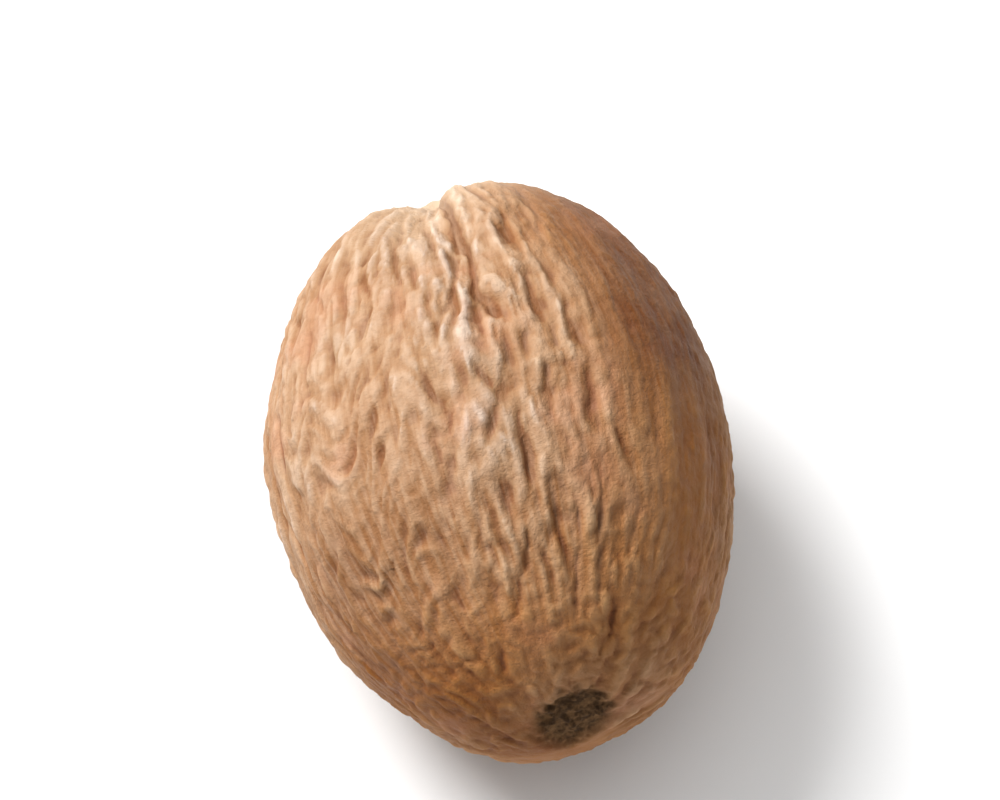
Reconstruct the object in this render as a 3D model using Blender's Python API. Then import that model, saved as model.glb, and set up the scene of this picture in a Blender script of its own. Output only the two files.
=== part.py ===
"""A whole nutmeg, the dried kernel of the seed, lying on its side.

Units are metres and +Z is up. The long axis runs along Y: the seed scar (hilum) is at
the +Y end and the dark chalaza at the -Y end. The origin is on the floor, under the
middle of the seed. A place on the skin is given as (along, angle): how far it lies along
Y from the middle, in millimetres, and its angle round the seed, in degrees, where 0 is
the top, 90 is +X and 180 is the underside. Every furrow but the raphe is laid by rule.
"""

import math
import random
from collections import namedtuple

import bmesh
import bpy
from mathutils import Vector, noise

MM = 0.001

# Driving dimensions of the kernel.
LENGTH = 26.6 * MM
WIDTH = 20.4 * MM
HEIGHT = 19.8 * MM
EGG = 0.025  # share by which the hilum end is fuller than the middle
REST_DEPTH = 0.2 * MM  # how much of the underside is level where the seed rests
SKIN_GRID = 28  # faces along each side of the cube that is blown up into the seed

# Low swellings and flats left by uneven drying.
SWELLING = 0.32 * MM
SWELLINGS_ACROSS = 1.7

# The chalaza is a sunken plug beside the tip, and the hilum a low round scar.
CHALAZA_ANGLE = 10
CHALAZA_OFF_AXIS = 2.1 * MM
CHALAZA_RADIUS = 1.7 * MM
CHALAZA_DEPTH = 0.35 * MM
CHALAZA_EDGE = (0.4, 1.15)  # where its slope ends and begins, as shares of its radius
HILUM_RADIUS = 1.6 * MM
HILUM_HEIGHT = 0.25 * MM
HILUM_EDGE = (0.5, 1.3)

# The hilum end is blunt: it falls short of the egg by this much, most of all close to the tip.
BLUNTNESS = 0.5 * MM
BLUNT_EDGE = (1.8 * MM, 6.0 * MM)

# A furrow runs from the hilum end towards the chalaza end, and fades out at both. Half
# width and depth are in millimetres.
Furrow = namedtuple("Furrow", "route half_width depth")
FURROW_FADE = 1.8
FURROWED_GIRTH = (0.8, 3.2)  # the furrows begin this far off the tips, in millimetres
FURROWED_DEPTH = (0.88, 0.97)  # and end this far down, as a share of the half height

# The raphe is the main groove. It starts beyond the tip, so that it is still deep where it
# runs over the rim of the blunt end. The lobe on its -X side stands lower there.
RAPHE = Furrow(((15.0, -7), (2.0, 2)), 0.70, 0.80)
LOBE_DROP = 0.70 * MM
LOBE_STEP = (-1, 5)  # degrees past the raphe in which the skin steps down to it
LOBE_WIDTH = 42  # degrees from the raphe to where the skin is full again
LOBE_ALONG = (4, 10.5)

# The other furrows lie in rows along the seed, all round it.
ROW_STEP = 12  # degrees from one row to the next
ROW_SEED = 7
ROW_START = (9.0, 11.5)
ROW_END = -9.0
ROW_LENGTHS = (4.0, 9.0)
ROW_GAPS = (0.85, 1.25)  # from one start to the next, as a share of the furrow's length
ROW_DEPTHS = (0.14, 0.30)
ROW_HALF_WIDTH = 0.60
ROW_WANDER = 5  # degrees
RAPHE_SIDE = 38  # degrees on each side of the top where the furrows are deeper
RAPHE_SIDE_DEEPER = 1.0


def smoothstep(low, high, value):
    """0 below low, 1 above high and a smooth rise between them."""
    share = min(1.0, max(0.0, (value - low) / (high - low)))
    return share * share * (3 - 2 * share)


def turn_between(angle, other):
    """How many degrees the first angle lies past the other, from -180 to 180."""
    return (angle - other + 180) % 360 - 180


def near_angle(angle, middle, spread):
    """1 at the middle angle, fading to nothing on both sides of it."""
    return math.exp(-((turn_between(angle, middle) / spread) ** 2))


def rows_of_furrows():
    """Furrows in rows along the seed, all round it, and deepest beside the raphe."""
    chance = random.Random(ROW_SEED)
    found = []
    for angle in range(-180, 180, ROW_STEP):
        deeper = 1 + RAPHE_SIDE_DEEPER * near_angle(angle, 0, RAPHE_SIDE)
        along = chance.uniform(*ROW_START)
        while along > ROW_END:
            length = chance.uniform(*ROW_LENGTHS)
            start = angle + chance.uniform(-ROW_WANDER, ROW_WANDER)
            route = (
                (along, start),
                (along - length / 2, start + chance.uniform(-ROW_WANDER, ROW_WANDER)),
                (along - length, start + chance.uniform(-ROW_WANDER, ROW_WANDER)),
            )
            found.append(Furrow(route, ROW_HALF_WIDTH, chance.uniform(*ROW_DEPTHS) * deeper))
            along -= length * chance.uniform(*ROW_GAPS)
    return found


def angle_on(route, along):
    """The furrow's angle where it passes that far along the seed."""
    for (near, near_end), (far, far_end) in zip(route, route[1:]):
        if along >= far:
            share = smoothstep(0, 1, (near - along) / (near - far))
            return near_end + (far_end - near_end) * share
    return route[-1][1]


def furrow_depth(furrow, along, angle, girth):
    """How deep the furrow cuts there. Girth is the skin's distance from the long axis, in millimetres."""
    first, last = furrow.route[0][0], furrow.route[-1][0]
    if not last < along < first:
        return 0.0
    turn = turn_between(angle, angle_on(furrow.route, along))
    across = math.radians(turn) * girth / furrow.half_width
    fade = smoothstep(0, FURROW_FADE, first - along) * smoothstep(0, FURROW_FADE, along - last)
    return furrow.depth * fade * math.exp(-across * across)


def lobe_drop(along, angle):
    """How much lower the lobe on the -X side of the raphe stands there, in metres."""
    past_raphe = -turn_between(angle, angle_on(RAPHE.route, along))
    across = smoothstep(*LOBE_STEP, past_raphe) * (1 - smoothstep(LOBE_STEP[1], LOBE_WIDTH, past_raphe))
    return LOBE_DROP * across * smoothstep(*LOBE_ALONG, along)


def plain_skin(direction):
    """The smooth egg on which everything else is laid, in metres from the seed's middle."""
    fullness = 1 + EGG * direction.y
    return Vector(
        (
            direction.x * WIDTH / 2 * fullness,
            direction.y * LENGTH / 2,
            direction.z * HEIGHT / 2 * fullness,
        )
    )


def outward(direction):
    """The egg's normal there."""
    return Vector((direction.x / WIDTH, direction.y / LENGTH, direction.z / HEIGHT)).normalized()


def tip_relief(place):
    """The sunken chalaza at the -Y end, and at the +Y end the low hilum on its blunt tip, in metres."""
    turn = math.radians(CHALAZA_ANGLE)
    chalaza = Vector((math.sin(turn), math.cos(turn))) * CHALAZA_OFF_AXIS
    if place.y < 0:
        away = (Vector((place.x, place.z)) - chalaza).length
        return -CHALAZA_DEPTH * (1 - smoothstep(*CHALAZA_EDGE, away / CHALAZA_RADIUS))
    away = math.hypot(place.x, place.z)
    hilum = HILUM_HEIGHT * (1 - smoothstep(*HILUM_EDGE, away / HILUM_RADIUS))
    return hilum - BLUNTNESS * (1 - smoothstep(*BLUNT_EDGE, away))


def skin_point(direction, furrows):
    """The finished skin in that direction from the middle of the seed."""
    place = plain_skin(direction)
    along = place.y / MM
    angle = math.degrees(math.atan2(place.x, place.z))
    girth = math.hypot(place.x, place.z) / MM
    deepest = max(furrow_depth(furrow, along, angle, girth) for furrow in furrows)
    off_tips = smoothstep(*FURROWED_GIRTH, girth)
    off_rest = 1 - smoothstep(*FURROWED_DEPTH, -direction.z)
    sunken = deepest * MM * off_rest + lobe_drop(along, angle)
    swelling = SWELLING * noise.noise(direction * SWELLINGS_ACROSS)
    relief = swelling + tip_relief(place) - sunken * off_tips
    return place + outward(direction) * relief


def evenly_spread(corner):
    """A point of the cube, moved so that the grid comes out even on the sphere."""
    return Vector(math.tan(value * math.pi / 4) for value in corner).normalized()


def level_resting_spot(grid):
    """Cuts the lowest sliver off the skin and closes the cut with one flat face."""
    level = min(vert.co.z for vert in grid.verts) + REST_DEPTH
    cut = bmesh.ops.bisect_plane(
        grid,
        geom=grid.verts[:] + grid.edges[:] + grid.faces[:],
        dist=0.01 * MM,
        plane_co=(0, 0, level),
        plane_no=(0, 0, 1),
        clear_inner=True,
    )
    rim = [item for item in cut["geom_cut"] if isinstance(item, bmesh.types.BMEdge)]
    for edge in rim:
        for vert in edge.verts:
            vert.co.z = level
    bmesh.ops.contextual_create(grid, geom=rim)


def stand_on_origin(grid):
    """Puts the origin on the floor, under the middle of the seed's box."""
    middle = Vector(
        (
            (min(vert.co.x for vert in grid.verts) + max(vert.co.x for vert in grid.verts)) / 2,
            (min(vert.co.y for vert in grid.verts) + max(vert.co.y for vert in grid.verts)) / 2,
            min(vert.co.z for vert in grid.verts),
        )
    )
    bmesh.ops.translate(grid, verts=grid.verts, vec=-middle)


def skin_material():
    """Dry tan-brown skin with a faint waxy sheen."""
    material = bpy.data.materials.new("nutmeg_skin")
    material.use_nodes = True
    surface = material.node_tree.nodes["Principled BSDF"]
    surface.inputs["Base Color"].default_value = (0.44, 0.25, 0.135, 1)
    surface.inputs["Roughness"].default_value = 0.6
    surface.inputs["Metallic"].default_value = 0.0
    return material


def build_nutmeg(collection):
    """The whole seed as one solid: a gridded cube blown up into the furrowed egg."""
    furrows = [RAPHE, *rows_of_furrows()]
    grid = bmesh.new()
    bmesh.ops.create_cube(grid, size=2)
    bmesh.ops.subdivide_edges(grid, edges=grid.edges[:], cuts=SKIN_GRID - 1, use_grid_fill=True)
    for vert in grid.verts:
        vert.co = skin_point(evenly_spread(vert.co), furrows)
    level_resting_spot(grid)
    stand_on_origin(grid)
    bmesh.ops.recalc_face_normals(grid, faces=grid.faces)
    mesh = bpy.data.meshes.new("nutmeg")
    grid.to_mesh(mesh)
    grid.free()
    mesh.shade_smooth()
    mesh.materials.append(skin_material())
    collection.objects.link(bpy.data.objects.new("nutmeg", mesh))


for old in list(bpy.data.objects):
    bpy.data.objects.remove(old)
parts = bpy.data.collections.new("whole_nutmeg")
bpy.context.scene.collection.children.link(parts)
build_nutmeg(parts)
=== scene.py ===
import math
import random
from collections import namedtuple

import bmesh
import bpy
import numpy as np
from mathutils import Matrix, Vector, noise


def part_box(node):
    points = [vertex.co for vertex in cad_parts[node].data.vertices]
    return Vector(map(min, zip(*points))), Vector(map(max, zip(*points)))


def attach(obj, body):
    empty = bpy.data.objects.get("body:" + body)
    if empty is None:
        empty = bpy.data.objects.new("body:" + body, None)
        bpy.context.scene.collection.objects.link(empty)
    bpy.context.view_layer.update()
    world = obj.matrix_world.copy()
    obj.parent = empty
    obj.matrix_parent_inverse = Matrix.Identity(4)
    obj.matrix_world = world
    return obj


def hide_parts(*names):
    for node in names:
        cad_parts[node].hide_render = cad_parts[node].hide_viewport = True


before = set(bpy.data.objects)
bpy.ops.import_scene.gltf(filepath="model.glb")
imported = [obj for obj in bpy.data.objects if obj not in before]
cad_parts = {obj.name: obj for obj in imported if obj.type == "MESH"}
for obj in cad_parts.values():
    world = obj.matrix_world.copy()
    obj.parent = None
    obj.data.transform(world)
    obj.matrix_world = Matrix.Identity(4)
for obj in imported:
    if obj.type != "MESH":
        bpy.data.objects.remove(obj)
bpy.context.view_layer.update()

# The kernel: one hard oily seed in its thin dry skin. It is an egg, blunt at the hilum
# end, that has dried until its skin shrank into furrows, crests and a fine net of
# wrinkles. It is made from a gridded cube, blown up into the egg and then carved.

MM = 0.001
LOW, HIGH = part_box("nutmeg")
BLUNTNESS = 0.5 * MM
BLUNT_RADIUS = 6.0 * MM
HILUM_RADIUS = 1.6 * MM
HILUM_HEIGHT = 0.25 * MM
REST_DEPTH = 0.2 * MM
WIDTH = HIGH.x - LOW.x
LENGTH = HIGH.y - LOW.y + (BLUNTNESS - HILUM_HEIGHT) / 2
HEIGHT = HIGH.z - LOW.z + REST_DEPTH
EGG = 0.025
GIRTH = 10.0
MERIDIAN = 11.7

SKIN_GRID = 127
NOISE_SEED = 7
SWELLING = 0.32 * MM
SWELLINGS_ACROSS = 1.7

CHALAZA_ANGLE = 10
CHALAZA_OFF_AXIS = 2.1 * MM
CHALAZA_RADIUS = 1.9 * MM
CHALAZA_DEPTH = 0.35 * MM

# A furrow runs from the hilum end towards the chalaza end. Its route is (along, angle):
# millimetres along the seed from its middle, and degrees round it from the top. Half
# width and depth are in millimetres.
Furrow = namedtuple("Furrow", "route half_width depth")
FURROW_FADE = 1.4

# The raphe is the main groove. The lobe on its -X side stands lower at the blunt end.
RAPHE = Furrow(((15.0, -7), (2.0, 2)), 0.62, 0.80)
LOBE_DROP = 0.70 * MM
LOBE_WIDTH = 42

ROW_STEP = 12
ROW_SEED = 7
ROW_LENGTHS = (4.0, 9.0)
ROW_DEPTHS = (0.10, 0.24)
RAPHE_SIDE = 38
RAPHE_SIDE_DEEPER = 0.7
LEAN = math.radians(58)
CREASE_DEPTH = 0.06
CREST_STAND = 0.17


def smoothstep(low, high, value):
    """0 at low and before it, 1 at high and beyond, with a smooth rise between them."""
    share = min(1.0, max(0.0, (value - low) / (high - low)))
    return share * share * (3 - 2 * share)


def turn_between(angle, other):
    """How many degrees the first angle lies past the other, from -180 to 180."""
    return (angle - other + 180) % 360 - 180


def near_angle(angle, middle, spread):
    """1 at the middle angle, fading to nothing on both sides of it."""
    return math.exp(-((turn_between(angle, middle) / spread) ** 2))


def rows_of_furrows():
    """Furrows in rows along the seed, all round it, and deepest beside the raphe."""
    chance = random.Random(ROW_SEED)
    found = []
    for angle in range(-180, 180, ROW_STEP):
        deeper = 1 + RAPHE_SIDE_DEEPER * near_angle(angle, 0, RAPHE_SIDE)
        along = chance.uniform(9.0, 11.5)
        while along > -9.0:
            length = chance.uniform(*ROW_LENGTHS)
            start = angle + chance.uniform(-5, 5)
            route = (
                (along, start),
                (along - length / 2, start + chance.uniform(-5, 5)),
                (along - length, start + chance.uniform(-5, 5)),
            )
            found.append(Furrow(route, 0.40, chance.uniform(*ROW_DEPTHS) * deeper))
            along -= length * chance.uniform(0.85, 1.25)
    return found


def angle_on(route, along):
    """The furrow's angle where it passes that far along the seed."""
    for (near, near_end), (far, far_end) in zip(route, route[1:]):
        if along >= far:
            share = smoothstep(0, 1, (near - along) / (near - far))
            return near_end + (far_end - near_end) * share
    return route[-1][1]


def furrow_depth(furrow, along, angle, girth):
    """How deep the furrow cuts there, with steep sides and a sharp bottom, in millimetres."""
    first, last = furrow.route[0][0], furrow.route[-1][0]
    if not last < along < first:
        return 0.0
    turn = turn_between(angle, angle_on(furrow.route, along))
    across = abs(math.radians(turn)) * girth / furrow.half_width
    if across > 2.6:
        return 0.0
    fade = smoothstep(0, FURROW_FADE, first - along) * smoothstep(0, FURROW_FADE, along - last)
    return furrow.depth * fade * math.exp(-1.5 * across)


def plain_skin(direction):
    """The smooth egg on which everything else is laid, in metres from the seed's middle."""
    fullness = 1 + EGG * direction.y
    return Vector(
        (
            direction.x * WIDTH / 2 * fullness,
            direction.y * LENGTH / 2,
            direction.z * HEIGHT / 2 * fullness,
        )
    )


def outward(direction):
    """The egg's normal there."""
    return Vector((direction.x / WIDTH, direction.y / LENGTH, direction.z / HEIGHT)).normalized()


def cells(grain, width, length):
    """The distances to the nearest cell middles and the middles, for long cells of that size."""
    return noise.voronoi(Vector((grain.x / width, grain.y / width, grain.z / length)))


def pebbles(grain, width, length, edge):
    """0 in the creases between cells of that size, and 1 on top of the cells."""
    distances, points = cells(grain, width, length)
    inside = min(1.0, (distances[1] - distances[0]) / edge)
    return (1 - (1 - inside) ** 2) * (0.75 + 0.35 * noise.noise(points[0] * 2.3))


def crests(grain, width, length, half_width):
    """1 along the rounded crests where long cells meet, falling to 0 inside them. Some are low."""
    distances, points = cells(grain, width, length)
    highest = 0.0
    for distance, point in zip(distances[1:], points[1:]):
        away = (distance - distances[0]) * width / 2
        tall = 0.65 + 0.55 * noise.noise((points[0] + point) * 1.7)
        highest = max(highest, tall * (1 - min(1.0, away / half_width) ** 1.6))
    return highest


def regions(along, angle):
    """How smooth the skin is there, how hatched, and how near the chalaza end, each from 0 to 1."""
    smooth = near_angle(angle, 48, 29) * smoothstep(-12, -6, along)
    hatched = near_angle(angle, -43, 23) * smoothstep(-11, -7, along)
    hatched *= 1 - smoothstep(1, 4.5, along)
    return smooth, hatched, smoothstep(-5.5, -11, along)


def wrinkles(grain, place, along, angle):
    """The crests, pebbles, fibres and grit of the dried skin, in millimetres."""
    bent = grain + noise.noise_vector(grain * 0.28) * 0.55 + noise.noise_vector(grain * 0.9) * 0.18
    bent.z += 2.4 * noise.noise(Vector((grain.x * 0.6, grain.y * 0.6, grain.z * 0.1)))
    raphe_side = near_angle(angle, -2, 36)
    smooth, hatched, chalaza_end = regions(along, angle)
    calm = (1 - 0.90 * smooth) * (1 - 0.55 * near_angle(angle, -55, 26) * smoothstep(1, 5, along))
    patchy = 1 + 0.3 * noise.noise(place * 0.3 + Vector((5, 1, 2)))
    strength = (0.45 + 0.55 * raphe_side) * calm * patchy
    strength *= (1 - 0.8 * chalaza_end) * (1 - 0.45 * smoothstep(7.5, 12, along))
    height = 0.10 * noise.noise(Vector((bent.x / 1.5, bent.y / 1.5, bent.z / 7)))
    long_crests = (crests(bent, 1.05, 4.2, 0.35) - 0.35) * strength * (1 - 0.9 * hatched)
    short_crests = crests(bent + Vector((6, 2, 4)), 0.75, 2.4, 0.25) - 0.35
    height += 0.49 * long_crests + 0.24 * short_crests * strength * (1 - 0.8 * hatched)

    # On the -X side the ridges are short and lean over.
    arc = math.radians(angle) * GIRTH + bent.x - grain.x
    across_ridge = arc * math.cos(LEAN) - bent.z * math.sin(LEAN)
    along_ridge = arc * math.sin(LEAN) + bent.z * math.cos(LEAN)
    leaning = Vector((across_ridge, 3, along_ridge))
    height += 0.38 * (crests(leaning, 0.75, 1.8, 0.26) - 0.35) * hatched
    shaken = place + noise.noise_vector(place * 0.6) * 0.9 + noise.noise_vector(place * 2.1) * 0.25
    height += 0.14 * (pebbles(shaken, 1.1, 1.1, 0.7) - 0.6) * chalaza_end * patchy
    height += 0.07 * noise.noise(shaken * 1.6) * chalaza_end
    fine = pebbles(bent + Vector((3, 7, 1)), 0.6, 1.2, 0.5) - 0.6
    height += 0.12 * fine * (1 - 0.7 * smooth) * (1 - 0.6 * hatched) * (1 - chalaza_end)
    fibres = noise.noise(Vector((bent.x / 0.42, bent.y / 0.42, bent.z / 2.6)))
    height += 0.05 * fibres * (1 - 0.8 * max(chalaza_end, smooth, hatched))
    return height + 0.035 * noise.noise(place * 2.4)


def skin_point(direction, furrows):
    """The finished skin in that direction from the seed's middle, with what its colour follows."""
    place = plain_skin(direction)
    along = place.y / MM
    angle = math.degrees(math.atan2(place.x, place.z))
    girth = math.hypot(place.x, place.z) / MM
    round_seed = math.radians(angle)
    grain = Vector(
        (
            GIRTH * math.sin(round_seed),
            GIRTH * math.cos(round_seed),
            MERIDIAN * math.asin(max(-1, min(1, direction.y))),
        )
    )
    # The furrows wander a little, so the place looked up on the skin is bent by noise.
    bend = noise.noise_vector(grain * 0.35) * 0.6 + noise.noise_vector(grain * 1.1) * 0.2
    bent_angle = angle + math.degrees(bend.x / GIRTH)
    deepest = max(furrow_depth(furrow, along + bend.z, bent_angle, girth) for furrow in furrows)
    off_tips = smoothstep(0.8, 3.2, girth)
    off_rest = 1 - smoothstep(0.90, 0.975, -direction.z)
    smooth, hatched, chalaza_end = regions(along, angle)
    deepest *= (1 - 0.85 * smooth) * (1 - 0.85 * hatched) * (1 - 0.6 * chalaza_end)
    relief = (wrinkles(grain, place / MM, along, angle) - deepest) * off_tips * off_rest

    swelling = SWELLING * noise.noise(direction * SWELLINGS_ACROSS)
    past_raphe = -turn_between(angle, angle_on(RAPHE.route, along))
    lobe = smoothstep(-1, 5, past_raphe) * (1 - smoothstep(5, LOBE_WIDTH, past_raphe))
    swelling -= LOBE_DROP * lobe * smoothstep(4, 10.5, along) * off_tips
    turn = math.radians(CHALAZA_ANGLE)
    chalaza_place = Vector((math.sin(turn), math.cos(turn))) * CHALAZA_OFF_AXIS
    chalaza, hilum = 0.0, 0.0
    if place.y < 0:
        away = (Vector((place.x, place.z)) - chalaza_place).length
        ragged = away + 0.30 * MM * noise.noise(grain * 0.9) + 0.16 * MM * noise.noise(place / MM * 2.2)
        chalaza = 1 - smoothstep(0.72 * CHALAZA_RADIUS, 1.12 * CHALAZA_RADIUS, ragged)
        blocks, _ = noise.voronoi(place / MM / 0.42)
        crumbs = smoothstep(0, 0.5, blocks[1] - blocks[0]) * (0.5 + 0.9 * noise.noise(place / MM * 1.7))
        tip = -CHALAZA_DEPTH * chalaza + 0.26 * MM * crumbs * chalaza
        relief *= 1 - chalaza
    else:
        away = math.hypot(place.x, place.z)
        round_tip = Vector((math.sin(round_seed), math.cos(round_seed), 0))
        lobes = 1 + 0.35 * noise.noise(round_tip * 3 + Vector((0, 0, 4))) - 0.45 * round_tip.y
        hilum = 1 - smoothstep(0.5 * HILUM_RADIUS, 3.3 * HILUM_RADIUS, away * lobes)
        tip = HILUM_HEIGHT * (1 - smoothstep(0.5 * HILUM_RADIUS, 1.3 * HILUM_RADIUS, away))
        tip -= BLUNTNESS * (1 - smoothstep(0.3 * BLUNT_RADIUS, BLUNT_RADIUS, away))
        rays = noise.noise(round_tip * 3.4 + Vector((0, 0, away / MM * 0.35)))
        tip += 0.10 * MM * rays * smoothstep(0.3, 1.2, away / MM) * (1 - smoothstep(2.5, 5.0, away / MM))
        tip -= 0.35 * MM * (1 - smoothstep(0.08, 0.30, away / MM))
    point = place + outward(direction) * (relief * MM + tip + swelling)
    # The skin is pale round the raphe and varies at random. Painted shade makes it warmer and browner on
    # its +X side, away from the key light, where it is also browner of its own, and low on its -X side; it
    # is also warmer and darker towards the chalaza and underneath.
    uneven = 0.3 * noise.noise(place / MM * 0.3)
    warm_tone_and_shade = 0.10 + uneven + 0.50 * smoothstep(-4, -10, along) + 0.4 * near_angle(angle, 180, 80)
    # Painted shade on the +X side, away from the key light, over a browner tone of its own.
    warm_tone_and_shade += 0.88 * near_angle(angle, 57, 36) * smoothstep(-13, -2, along)
    # Painted shade low on the -X side, towards the chalaza end.
    painted_shade_left_below = near_angle(angle, -62, 34) * smoothstep(0, -7, along)
    warm_tone_and_shade += 0.35 * painted_shade_left_below
    # The brown tone: random, with painted shade on the +X side, low on the -X side and darker underneath.
    brown_tone_and_shade = uneven + 1.15 * near_angle(angle, 53, 26) * smoothstep(-6, 3, along)
    brown_tone_and_shade += 0.70 * painted_shade_left_below + 0.3 * near_angle(angle, 180, 80)
    drawn = smoothstep(-12, -6, along) * (1 - smoothstep(8, 12, along))
    drawn *= 1 - 0.7 * near_angle(angle, 50, 34)
    return point, relief, chalaza, hilum, warm_tone_and_shade, brown_tone_and_shade, drawn, grain


def evenly_spread(corner):
    """A point of the cube, moved so that the grid comes out even on the sphere."""
    return Vector(math.tan(value * math.pi / 4) for value in corner).normalized()


noise.seed_set(NOISE_SEED)
grid = bmesh.new()
bmesh.ops.create_cube(grid, size=2)
bmesh.ops.subdivide_edges(grid, edges=grid.edges[:], cuts=SKIN_GRID - 1, use_grid_fill=True)
relief_layer = grid.verts.layers.float.new("relief")
crease_shade_layer = grid.verts.layers.float.new("crease_shade")
chalaza_layer = grid.verts.layers.float.new("chalaza")
hilum_layer = grid.verts.layers.float.new("hilum")
warm_tone_and_shade_layer = grid.verts.layers.float.new("warm_tone_and_shade")
brown_tone_and_shade_layer = grid.verts.layers.float.new("brown_tone_and_shade")
drawn_layer = grid.verts.layers.float.new("drawn")
grain_layer = grid.verts.layers.float_vector.new("grain")
furrows = [RAPHE, *rows_of_furrows()]
for vert in grid.verts:
    found = skin_point(evenly_spread(vert.co), furrows)
    vert.co, relief, chalaza, hilum, warm_tone_and_shade, brown_tone_and_shade, drawn, grain = found
    vert[relief_layer] = relief
    vert[chalaza_layer] = chalaza
    vert[hilum_layer] = hilum
    vert[warm_tone_and_shade_layer] = min(1.0, max(0.0, warm_tone_and_shade))
    vert[brown_tone_and_shade_layer] = min(1.0, max(0.0, brown_tone_and_shade))
    vert[grain_layer] = grain
    vert[drawn_layer] = drawn

# Painted light and shade: the colour follows how a place stands against the skin close round it, for the
# painted shade in the sharp creases, and against the skin within about a millimetre, for the crests,
# painted paler partly as their own dusty tops and partly as the light they catch, and the hollows between
# them, painted darker as their shade.
grid.verts.index_update()
ends = np.array([[vert.index for vert in edge.verts] for edge in grid.edges])
neighbours = np.bincount(ends.ravel(), minlength=len(grid.verts))


def spread_out(values, times):
    """The values, each replaced that many times by the mean of itself and its neighbours."""
    for _ in range(times):
        around = np.bincount(ends[:, 0], values[ends[:, 1]], len(values))
        around += np.bincount(ends[:, 1], values[ends[:, 0]], len(values))
        values = (values + around) / (1 + neighbours)
    return values


reliefs = np.array([vert[relief_layer] for vert in grid.verts])
# How far each place sinks below the skin just round it, for the painted shade in the creases.
creases = (spread_out(reliefs, 7) - spread_out(reliefs, 1)) / CREASE_DEPTH
# Painted light and shade: 0 deep in a hollow, painted as shade, up to 1 on a crest, painted partly as its
# own paler colour and partly as light.
pale_crests_and_shade = 0.5 + (reliefs - spread_out(reliefs, 40)) / (2 * CREST_STAND)
for vert, pale_crest_and_shade, crease_shade in zip(grid.verts, pale_crests_and_shade, creases):
    vert[relief_layer] = pale_crest_and_shade
    vert[crease_shade_layer] = crease_shade
middle = Vector(
    (
        (min(vert.co.x for vert in grid.verts) + max(vert.co.x for vert in grid.verts)) / 2,
        (min(vert.co.y for vert in grid.verts) + max(vert.co.y for vert in grid.verts)) / 2,
        min(vert.co.z for vert in grid.verts) + REST_DEPTH,
    )
)
bmesh.ops.translate(grid, verts=grid.verts, vec=-middle)
for vert in grid.verts:
    vert.co.z = max(vert.co.z, 0)
bmesh.ops.recalc_face_normals(grid, faces=grid.faces)
mesh = bpy.data.meshes.new("kernel")
grid.to_mesh(mesh)
grid.free()
mesh.shade_smooth()
kernel = bpy.data.objects.new("kernel", mesh)
bpy.context.scene.collection.objects.link(kernel)


def node(tree, kind, **settings):
    """A new node with its settings and the fixed values of its inputs, which are given by name."""
    made = tree.nodes.new(kind)
    for name, value in settings.items():
        if name in made.bl_rna.properties:
            setattr(made, name, value)
        else:
            made.inputs[name.replace("_", " ")].default_value = value
    return made


def attribute(tree, name, socket="Fac"):
    """What the mesh stores under that name."""
    return node(tree, "ShaderNodeAttribute", attribute_name=name).outputs[socket]


def mottling(tree, place, size, detail=3.0, roughness=0.55):
    """Noise whose patches are about that many millimetres across."""
    made = node(tree, "ShaderNodeTexNoise", Detail=detail, Roughness=roughness)
    made.inputs["Scale"].default_value = 1 / size
    tree.links.new(place, made.inputs["Vector"])
    return made.outputs["Fac"]


def stretched(tree, place, scale):
    """The place, with each of its axes multiplied."""
    made = node(tree, "ShaderNodeMapping")
    made.inputs["Scale"].default_value = scale
    tree.links.new(place, made.inputs["Vector"])
    return made.outputs["Vector"]


def ramp(tree, value, *stops):
    """A colour, or a grey, looked up by the value. A stop is (where, colour)."""
    made = node(tree, "ShaderNodeValToRGB")
    made.color_ramp.interpolation = "EASE"
    while len(made.color_ramp.elements) < len(stops):
        made.color_ramp.elements.new(0.5)
    for element, (where, colour) in zip(made.color_ramp.elements, stops):
        element.position = where
        element.color = (*colour, 1) if isinstance(colour, tuple) else (colour, colour, colour, 1)
    tree.links.new(value, made.inputs["Fac"])
    return made.outputs["Color"]


def blend_colours(tree, share, first, second, kind="MIX"):
    """The first colour, with the second laid over it by that share."""
    made = node(tree, "ShaderNodeMix", data_type="RGBA", blend_type=kind)
    for source, socket in ((share, made.inputs[0]), (first, made.inputs[6]), (second, made.inputs[7])):
        if isinstance(source, bpy.types.NodeSocket):
            tree.links.new(source, socket)
        else:
            socket.default_value = (*source, 1) if isinstance(source, tuple) else source
    return made.outputs[2]


def sum_of(tree, kind, first, second):
    """The two values put together by a Math node of that kind."""
    made = node(tree, "ShaderNodeMath", operation=kind)
    for source, socket in ((first, made.inputs[0]), (second, made.inputs[1])):
        if isinstance(source, bpy.types.NodeSocket):
            tree.links.new(source, socket)
        else:
            socket.default_value = source
    return made.outputs[0]


skin = bpy.data.materials.new("nutmeg_skin")
skin.use_nodes = True
tree = skin.node_tree
surface = tree.nodes["Principled BSDF"]
grain = attribute(tree, "grain", "Vector")
place = node(tree, "ShaderNodeTexCoord").outputs["Object"]
place_mm = stretched(tree, place, (1000, 1000, 1000))
# Painted light and shade: dark brown low in the hollows, as their shade, up to pale cream on the crests,
# partly their own dusty colour and partly a painted highlight.
colour = ramp(
    tree,
    attribute(tree, "relief"),
    (0.05, (0.27, 0.118, 0.043)),
    (0.42, (0.425, 0.263, 0.148)),
    (0.70, (0.54, 0.394, 0.284)),
    (0.98, (0.70, 0.600, 0.518)),
)
# Painted shade: the sharp creases are darkened towards a deep brown.
crease_shade = ramp(tree, attribute(tree, "crease_shade"), (0.15, 0.0), (1.0, 1.0))
colour = blend_colours(tree, sum_of(tree, "MULTIPLY", crease_shade, 0.5), colour, (0.19, 0.085, 0.036))
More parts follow.
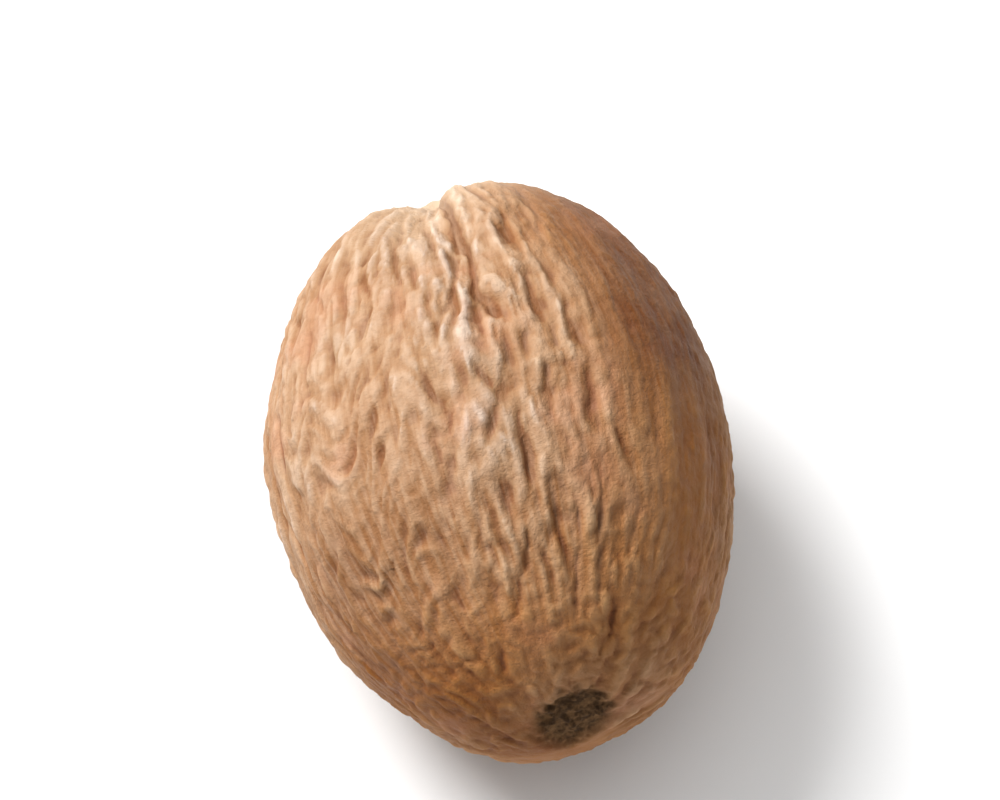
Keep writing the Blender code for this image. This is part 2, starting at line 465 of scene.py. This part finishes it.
# Painted shade: these two multiplies warm and darken the skin where the masks put shade, over its own
# uneven tone.
colour = blend_colours(tree, attribute(tree, "warm_tone_and_shade"), colour, (1.0, 0.57, 0.11), "MULTIPLY")
colour = blend_colours(tree, attribute(tree, "brown_tone_and_shade"), colour, (0.43, 0.34, 0.24), "MULTIPLY")
patches = ramp(tree, mottling(tree, place_mm, 4.5), (0.35, 0.0), (0.65, 1.0))
colour = blend_colours(tree, sum_of(tree, "MULTIPLY", patches, 0.35), colour, (0.37, 0.172, 0.062))
streaks = ramp(tree, mottling(tree, stretched(tree, grain, (3.0, 3.0, 0.35)), 1.0), (0.35, 0.0), (0.7, 1.0))
streaks = sum_of(tree, "MULTIPLY", streaks, attribute(tree, "drawn"))
colour = blend_colours(tree, sum_of(tree, "MULTIPLY", streaks, 0.30), colour, (0.70, 0.51, 0.36))
blushes = ramp(tree, mottling(tree, place_mm, 3.4), (0.52, 0.0), (0.72, 1.0))
colour = blend_colours(tree, sum_of(tree, "MULTIPLY", blushes, 0.20), colour, (0.66, 0.30, 0.19))
flecks = ramp(tree, mottling(tree, place_mm, 0.8), (0.42, 0.0), (0.68, 1.0))
colour = blend_colours(tree, sum_of(tree, "MULTIPLY", flecks, 0.28), colour, (0.32, 0.152, 0.058))
pits = ramp(tree, mottling(tree, place_mm, 0.45), (0.60, 0.0), (0.72, 1.0))
colour = blend_colours(tree, sum_of(tree, "MULTIPLY", pits, 0.22), colour, (0.20, 0.092, 0.04))
hilum = attribute(tree, "hilum")
colour = blend_colours(tree, sum_of(tree, "MULTIPLY", hilum, 0.75), colour, (0.68, 0.53, 0.38))
crumb = ramp(
    tree,
    mottling(tree, place_mm, 0.35),
    (0.34, (0.080, 0.039, 0.013)),
    (0.66, (0.235, 0.128, 0.054)),
)
colour = blend_colours(tree, attribute(tree, "chalaza"), colour, crumb)
tree.links.new(colour, surface.inputs["Base Color"])
roughness = ramp(tree, mottling(tree, place_mm, 1.3), (0.3, 0.55), (0.7, 0.70))
roughness = blend_colours(tree, attribute(tree, "chalaza"), roughness, (0.95, 0.95, 0.95))
tree.links.new(roughness, surface.inputs["Roughness"])
surface.inputs["Specular IOR Level"].default_value = 0.4
bump = node(tree, "ShaderNodeBump", Strength=0.7, Distance=0.00014)
tree.links.new(mottling(tree, place_mm, 0.22, 5.0, 0.65), bump.inputs["Height"])
tree.links.new(bump.outputs["Normal"], surface.inputs["Normal"])
mesh.materials.append(skin)

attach(kernel, "root")
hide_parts("nutmeg")


# The table: a plain white sheet, level with the resting spot.

floor_grid = bmesh.new()
bmesh.ops.create_grid(floor_grid, x_segments=1, y_segments=1, size=3)
floor_mesh = bpy.data.meshes.new("floor")
floor_grid.to_mesh(floor_mesh)
floor_grid.free()
floor = bpy.data.objects.new("floor", floor_mesh)
bpy.context.scene.collection.objects.link(floor)
paper = bpy.data.materials.new("white_paper")
paper.use_nodes = True
paper.node_tree.nodes["Principled BSDF"].inputs["Base Color"].default_value = (0.60, 0.60, 0.60, 1)
paper.node_tree.nodes["Principled BSDF"].inputs["Roughness"].default_value = 0.9
floor_mesh.materials.append(paper)


# The light: one large soft box high on the left, a lamp that lights only the table, and a
# dim white room.

def soft_box(name, away, side, power):
    """A square light at that place, turned to the seed."""
    lamp = bpy.data.lights.new(name, "AREA")
    lamp.shape = "SQUARE"
    lamp.size = side
    lamp.energy = power
    made = bpy.data.objects.new(name, lamp)
    made.location = Vector(away)
    made.rotation_euler = (-Vector(away)).to_track_quat("-Z", "Y").to_euler()
    made.visible_camera = False
    bpy.context.scene.collection.objects.link(made)
    return made


key_light = soft_box("key", (-0.40, 0.47, 0.77), 0.42, 14.5)
floor_light = soft_box("floor_light", (0, 0, 1), 1.6, 13)
floor_only = bpy.data.collections.new("floor_only")
floor_only.objects.link(floor)
floor_light.light_linking.receiver_collection = floor_only
world = bpy.data.worlds.new("room")
world.use_nodes = True
world.node_tree.nodes["Background"].inputs["Color"].default_value = (1, 1, 1, 1)
world.node_tree.nodes["Background"].inputs["Strength"].default_value = 0.33
bpy.context.scene.world = world
bpy.context.scene.view_settings.view_transform = "Standard"
bpy.context.scene.view_settings.gamma = 0.88


# The camera: it looks down on the seed from the chalaza end, a little from the left.

AZIMUTH = math.radians(-12.2)
ELEVATION = math.radians(66)
LENS = 120
FILL = 0.73
LOOK_ABOVE = 0.085

centre = (LOW + HIGH) / 2
heading = Vector((-math.sin(AZIMUTH), math.cos(AZIMUTH), 0))
forward = heading * math.cos(ELEVATION) - Vector((0, 0, math.sin(ELEVATION)))
camera_up = heading * math.sin(ELEVATION) + Vector((0, 0, math.cos(ELEVATION)))
seen_height = 25.8 * MM / FILL
distance = seen_height * LENS / (36 * 0.8)
camera_data = bpy.data.cameras.new("camera")
camera_data.lens = LENS
camera_data.sensor_width = 36
camera_data.clip_start = 0.01
camera = bpy.data.objects.new("camera", camera_data)
camera.location = centre - forward * distance + camera_up * LOOK_ABOVE * seen_height
camera.rotation_euler = forward.to_track_quat("-Z", "Y").to_euler()
bpy.context.scene.collection.objects.link(camera)
bpy.context.scene.camera = camera
